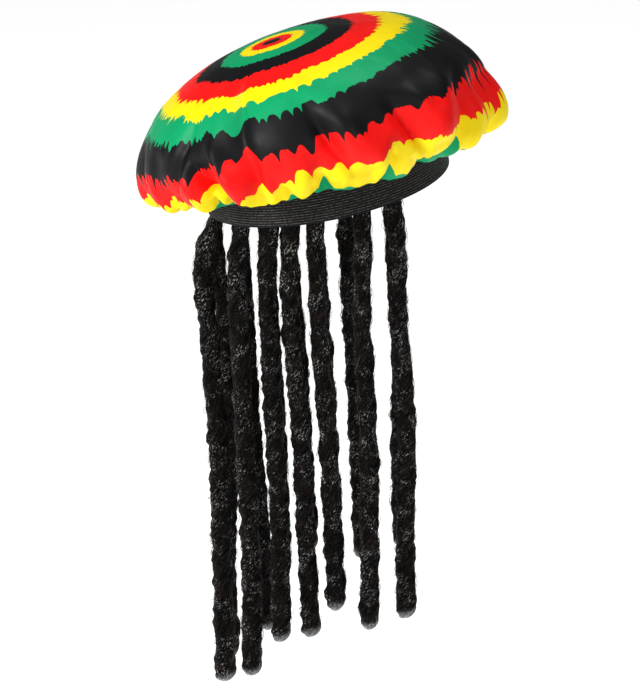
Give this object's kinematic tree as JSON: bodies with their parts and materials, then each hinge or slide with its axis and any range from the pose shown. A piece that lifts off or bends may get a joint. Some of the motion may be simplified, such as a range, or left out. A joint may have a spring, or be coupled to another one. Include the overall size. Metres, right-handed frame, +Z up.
{
  "type": "rasta tam with dreadlocks",
  "caption": "Puffed satin tam with jagged rings of red, yellow, green and black, gathered into a ribbed elastic headband, with long dark dreadlocks hanging from inside the band.",
  "frame": {"origin": "centre of the headband's lower rim, where the tam sits on a head", "axes": "+X to the wearer's front, +Y to the wearer's left, +Z up with the head upright, so the locks hang along -Z"},
  "size_m": [0.2961, 0.2612, 0.5656],
  "materials": {
    "printed_satin": "satin weave, printed in red, yellow, green and black rings",
    "elastic": "matte ribbed elastic",
    "hair_lock": "felted artificial hair, slightly glossy"
  },
  "bodies": {
    "root": {"crown": "printed_satin", "headband": "elastic", "dreadlock_01": "hair_lock", "dreadlock_02": "hair_lock", "dreadlock_03": "hair_lock", "dreadlock_04": "hair_lock", "dreadlock_05": "hair_lock", "dreadlock_06": "hair_lock", "dreadlock_07": "hair_lock", "dreadlock_08": "hair_lock", "dreadlock_09": "hair_lock", "dreadlock_10": "hair_lock", "dreadlock_11": "hair_lock", "dreadlock_12": "hair_lock", "dreadlock_13": "hair_lock", "dreadlock_14": "hair_lock"}
  },
  "joints": []
}
